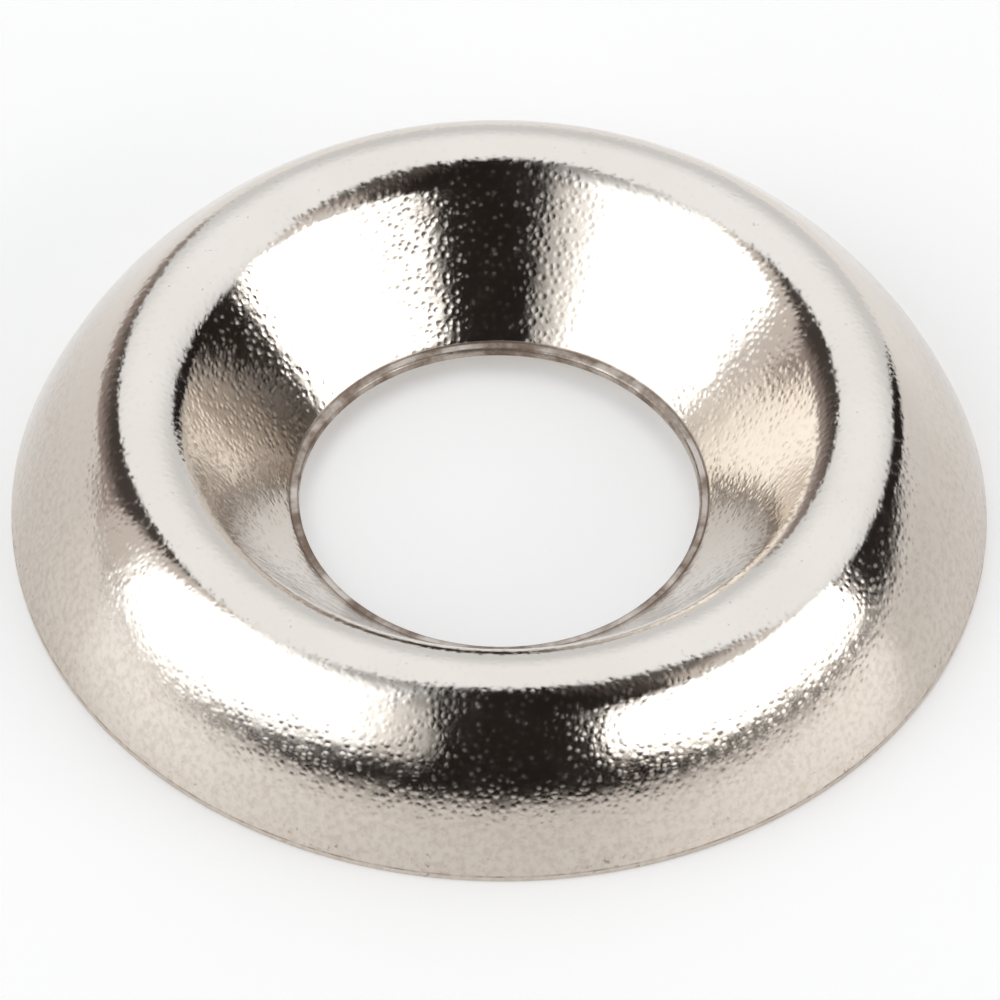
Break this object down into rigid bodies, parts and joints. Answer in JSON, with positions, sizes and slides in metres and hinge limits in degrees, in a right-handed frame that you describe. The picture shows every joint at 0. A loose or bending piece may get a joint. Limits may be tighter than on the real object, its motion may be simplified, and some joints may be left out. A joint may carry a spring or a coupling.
{
  "type": "finishing cup washer",
  "caption": "Finishing cup washer: a stamped ring with a round crest, a conical seat for a countersunk screw head, a central screw hole and a bowed outer skirt.",
  "frame": {"origin": "on the screw axis, in the plane that the rim stands on", "axes": "+Z along the screw axis, from the rim up to the crest and the screw head"},
  "size_m": [0.014, 0.014, 0.0024],
  "materials": {
    "nickel_plate": "bright nickel plate with a fine orange peel and a few brown specks near the rim"
  },
  "bodies": {
    "root": {"cup_washer": "nickel_plate"}
  },
  "joints": []
}
